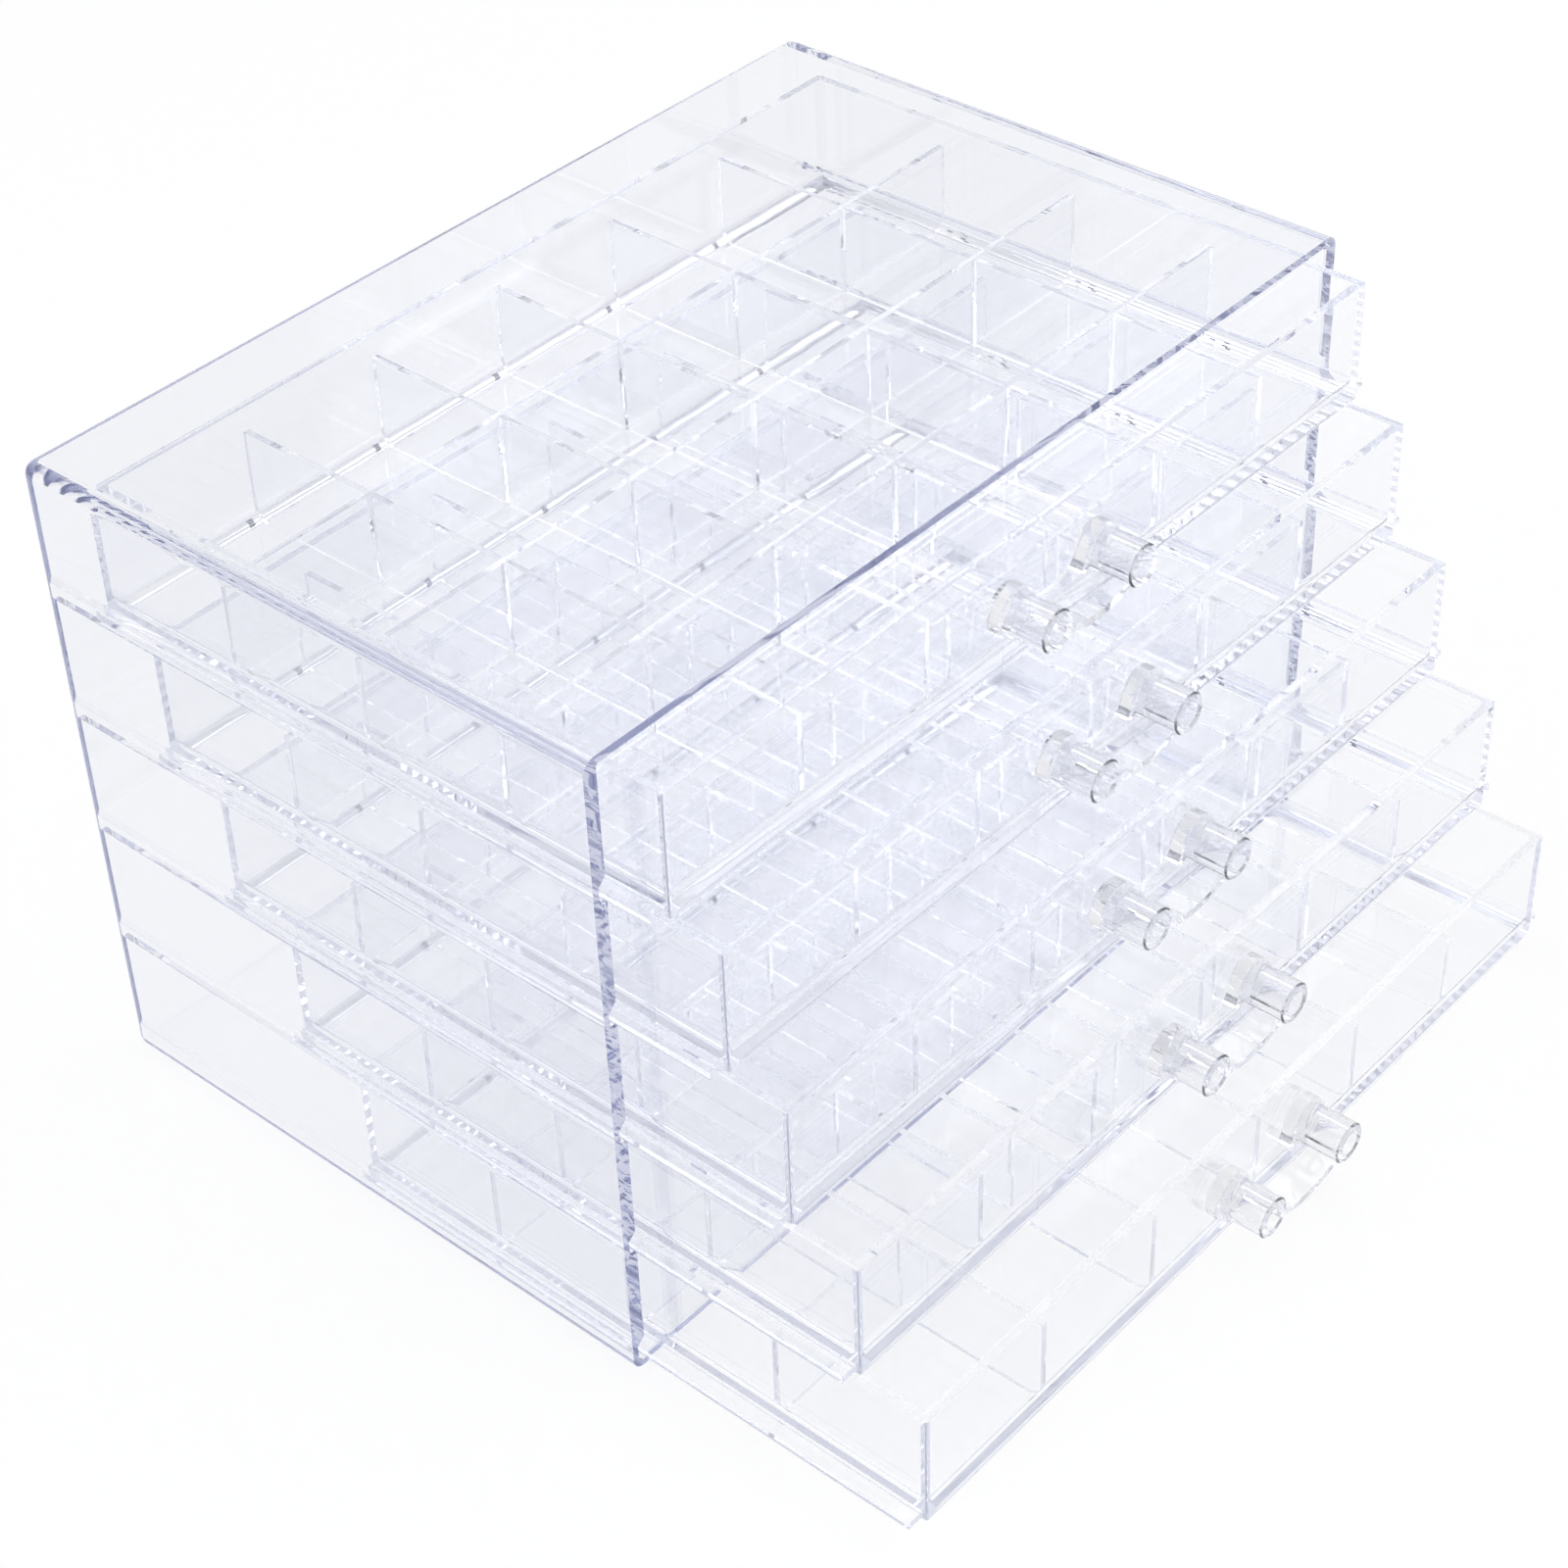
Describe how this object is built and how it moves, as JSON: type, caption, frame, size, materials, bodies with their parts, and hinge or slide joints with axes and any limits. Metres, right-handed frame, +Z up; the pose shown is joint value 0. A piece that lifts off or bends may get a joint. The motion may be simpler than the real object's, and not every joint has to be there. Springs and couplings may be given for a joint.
{
  "type": "divided drawer organizer",
  "caption": "Clear plastic tabletop organizer: an open-fronted casing with stacked sliding drawers, each divided into small square compartments, with a two-peg pull on its face.",
  "frame": {"origin": "middle of the casing's underside, on the surface it stands on", "axes": "+X is right when facing the drawers, drawers open towards -Y, +Z is up"},
  "size_m": [0.235, 0.2393, 0.158],
  "materials": {
    "clear_casing": "gloss, clear as glass",
    "clear_tray": "gloss, clear as glass",
    "clear_divider": "gloss, clear as glass",
    "clear_pull": "gloss, clear as glass"
  },
  "bodies": {
    "casing": {"casing": "clear_casing"},
    "drawer_1": {"drawer_1_tray": "clear_tray", "drawer_1_lengthwise_dividers": "clear_divider", "drawer_1_crosswise_dividers": "clear_divider", "drawer_1_pull": "clear_pull"},
    "drawer_2": {"drawer_2_tray": "clear_tray", "drawer_2_lengthwise_dividers": "clear_divider", "drawer_2_crosswise_dividers": "clear_divider", "drawer_2_pull": "clear_pull"},
    "drawer_3": {"drawer_3_tray": "clear_tray", "drawer_3_lengthwise_dividers": "clear_divider", "drawer_3_crosswise_dividers": "clear_divider", "drawer_3_pull": "clear_pull"},
    "drawer_4": {"drawer_4_tray": "clear_tray", "drawer_4_lengthwise_dividers": "clear_divider", "drawer_4_crosswise_dividers": "clear_divider", "drawer_4_pull": "clear_pull"},
    "drawer_5": {"drawer_5_tray": "clear_tray", "drawer_5_lengthwise_dividers": "clear_divider", "drawer_5_crosswise_dividers": "clear_divider", "drawer_5_pull": "clear_pull"}
  },
  "joints": [
    {"name": "drawer_1_slide", "type": "slide", "parent": "casing", "child": "drawer_1", "axis": [0, -1, 0], "range_m": [-0.0125, 0.1075]},
    {"name": "drawer_2_slide", "type": "slide", "parent": "casing", "child": "drawer_2", "axis": [0, -1, 0], "range_m": [-0.025, 0.095]},
    {"name": "drawer_3_slide", "type": "slide", "parent": "casing", "child": "drawer_3", "axis": [0, -1, 0], "range_m": [-0.039, 0.081]},
    {"name": "drawer_4_slide", "type": "slide", "parent": "casing", "child": "drawer_4", "axis": [0, -1, 0], "range_m": [-0.055, 0.065]},
    {"name": "drawer_5_slide", "type": "slide", "parent": "casing", "child": "drawer_5", "axis": [0, -1, 0], "range_m": [-0.071, 0.049]}
  ]
}
